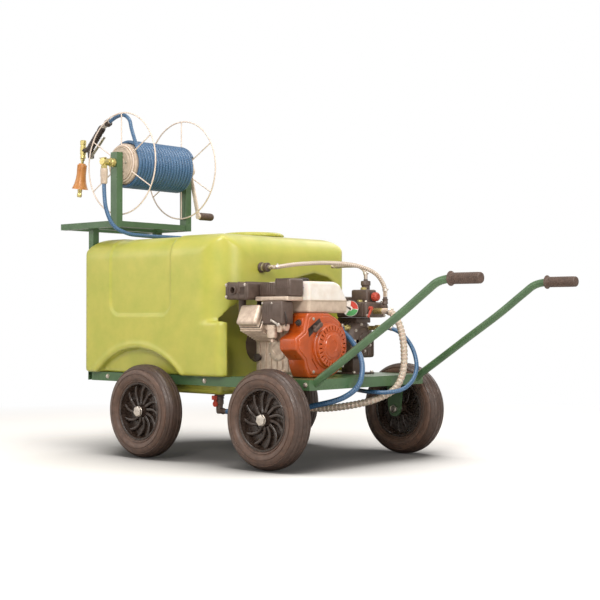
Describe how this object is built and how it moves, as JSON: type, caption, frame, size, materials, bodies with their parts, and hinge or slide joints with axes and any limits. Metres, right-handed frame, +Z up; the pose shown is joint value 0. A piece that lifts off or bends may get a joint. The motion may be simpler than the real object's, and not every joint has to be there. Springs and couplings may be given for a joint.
{
  "type": "wheeled sprayer cart",
  "caption": "Four-wheeled hand-pushed sprayer cart: square liquid tank, petrol engine and diaphragm pump in its arched recess, hose reel with spray gun on a rear stand, two push handles.",
  "frame": {"origin": "on the floor under the middle of the whole cart", "axes": "+X forward to the push handles, -Y the near side of the picture, +Z up"},
  "size_m": [2.056, 0.885, 1.3702],
  "materials": {
    "green_steel": "satin paint",
    "lime_plastic": "rotomoulded",
    "black_plastic": "moulded",
    "grey_plastic": "moulded",
    "white_plastic": "moulded",
    "red_plastic": "moulded",
    "orange_plastic": "moulded",
    "rubber": "matt",
    "zinc": "plated",
    "cast_aluminium": "cast",
    "brass": "turned",
    "blue_hose": "smooth",
    "clear_hose": "smooth",
    "white_wire": "coated",
    "black_steel": "satin paint"
  },
  "bodies": {
    "cart": {"chassis": "green_steel", "handle_near": "green_steel", "handle_far": "green_steel", "grip_near": "rubber", "grip_far": "rubber", "tank": "lime_plastic", "outlet_valve": "grey_plastic", "return_fitting": "black_plastic", "reel_stand": "green_steel", "swivel": "brass", "engine_block": "cast_aluminium", "valve_cover": "cast_aluminium", "fan_shroud": "orange_plastic", "fuel_tank": "white_plastic", "air_cleaner": "black_plastic", "muffler": "black_steel", "carburettor": "black_plastic", "pump_body": "black_steel", "control_unit": "black_plastic", "drive_guard": "black_steel", "gun_lead": "blue_hose", "feed_hose": "blue_hose", "suction_hose": "clear_hose", "delivery_hose": "blue_hose", "return_hose": "clear_hose", "bypass_hose": "clear_hose", "wheel_bracket_rear_near": "green_steel", "axle_rear_near": "zinc", "wheel_bracket_rear_far": "green_steel", "axle_rear_far": "zinc", "wheel_bracket_front_near": "green_steel", "axle_front_near": "zinc", "wheel_bracket_front_far": "green_steel", "axle_front_far": "zinc"},
    "reel": {"drum": "white_plastic", "flange_ring_near": "white_wire", "flange_ring_far": "white_wire", "hose_winding": "blue_hose", "crank_arm": "white_wire"},
    "crank_grip": {"crank_grip": "rubber"},
    "spray_gun": {"gun_body": "black_plastic"},
    "gun_trigger": {"gun_trigger": "zinc"},
    "gun_bell": {"gun_bell": "orange_plastic"},
    "tank_lid": {"tank_lid": "lime_plastic"},
    "outlet_lever": {"outlet_lever": "red_plastic"},
    "pull_handle": {"pull_handle": "rubber"},
    "fuel_cap": {"fuel_cap": "black_plastic"},
    "choke_lever": {"choke_lever": "zinc"},
    "engine_switch": {"engine_switch": "black_plastic"},
    "dipstick": {"dipstick": "black_plastic"},
    "pressure_knob": {"pressure_knob": "red_plastic"},
    "tap_lever": {"tap_lever": "red_plastic"},
    "wheel_rear_near": {"rim_rear_near": "black_plastic", "tyre_rear_near": "rubber"},
    "wheel_rear_far": {"rim_rear_far": "black_plastic", "tyre_rear_far": "rubber"},
    "wheel_front_near": {"rim_front_near": "black_plastic", "tyre_front_near": "rubber"},
    "wheel_front_far": {"rim_front_far": "black_plastic", "tyre_front_far": "rubber"}
  },
  "joints": [
    {"name": "wheel_rear_near_spin", "type": "hinge", "parent": "cart", "child": "wheel_rear_near", "pos_m": [-0.453, -0.395, 0.18], "axis": [0, 1, 0], "continuous": true},
    {"name": "wheel_rear_far_spin", "type": "hinge", "parent": "cart", "child": "wheel_rear_far", "pos_m": [-0.453, 0.395, 0.18], "axis": [0, 1, 0], "continuous": true},
    {"name": "wheel_front_near_spin", "type": "hinge", "parent": "cart", "child": "wheel_front_near", "pos_m": [0.197, -0.395, 0.18], "axis": [0, 1, 0], "continuous": true},
    {"name": "wheel_front_far_spin", "type": "hinge", "parent": "cart", "child": "wheel_front_far", "pos_m": [0.197, 0.395, 0.18], "axis": [0, 1, 0], "continuous": true},
    {"name": "reel_spin", "type": "hinge", "parent": "cart", "child": "reel", "pos_m": [-0.688, -0.153, 1.162], "axis": [0, 1, 0], "continuous": true},
    {"name": "crank_grip_spin", "type": "hinge", "parent": "reel", "child": "crank_grip", "pos_m": [-0.63792, 0.096, 0.96837], "axis": [0, 1, 0], "continuous": true},
    {"name": "spray_gun_lift_off", "type": "slide", "parent": "cart", "child": "spray_gun", "axis": [-1, 0, 0], "range_m": [0, 0.25]},
    {"name": "gun_trigger_squeeze", "type": "hinge", "parent": "spray_gun", "child": "gun_trigger", "pos_m": [-0.904, -0.2983, 1.206], "axis": [0, -1, 0], "range_deg": [0, 8], "stiffness_Nm_per_rad": 2, "springref_deg": -6.88},
    {"name": "gun_bell_turn", "type": "hinge", "parent": "spray_gun", "child": "gun_bell", "pos_m": [-0.957, -0.2983, 1.215], "axis": [-0.139, 0, -0.9903], "range_deg": [0, 180]},
    {"name": "tank_lid_hinge", "type": "hinge", "parent": "cart", "child": "tank_lid", "pos_m": [-0.5, 0.11, 0.8733], "axis": [0, -1, 0], "range_deg": [0, 85]},
    {"name": "outlet_lever_turn", "type": "hinge", "parent": "cart", "child": "outlet_lever", "pos_m": [-0.194, -0.27, 0.2117], "axis": [0, 1, 0], "range_deg": [0, 90]},
    {"name": "pull_handle_draw", "type": "slide", "parent": "cart", "child": "pull_handle", "axis": [1, 0, 0], "range_m": [0, 0.3], "stiffness_N_per_m": 12, "springref_m": -0.05},
    {"name": "fuel_cap_turn", "type": "hinge", "parent": "cart", "child": "fuel_cap", "pos_m": [0.142, -0.15, 0.672], "axis": [0, 0, 1], "range_deg": [0, 90]},
    {"name": "choke_lever_swing", "type": "hinge", "parent": "cart", "child": "choke_lever", "pos_m": [0.194, -0.3383, 0.515], "axis": [0, 1, 0], "range_deg": [0, 45]},
    {"name": "engine_switch_turn", "type": "hinge", "parent": "cart", "child": "engine_switch", "pos_m": [0.228, -0.2663, 0.522], "axis": [0, -1, 0], "range_deg": [0, 60]},
    {"name": "dipstick_turn", "type": "hinge", "parent": "cart", "child": "dipstick", "pos_m": [0.002, -0.2353, 0.392], "axis": [0, -1, 0], "range_deg": [0, 180]},
    {"name": "pressure_knob_turn", "type": "hinge", "parent": "cart", "child": "pressure_knob", "pos_m": [0.217, 0.17, 0.62], "axis": [1, 0, 0], "range_deg": [0, 300]},
    {"name": "tap_lever_turn", "type": "hinge", "parent": "cart", "child": "tap_lever", "pos_m": [0.2443, 0.118, 0.575], "axis": [-1, 0, 0], "range_deg": [0, 90]}
  ]
}
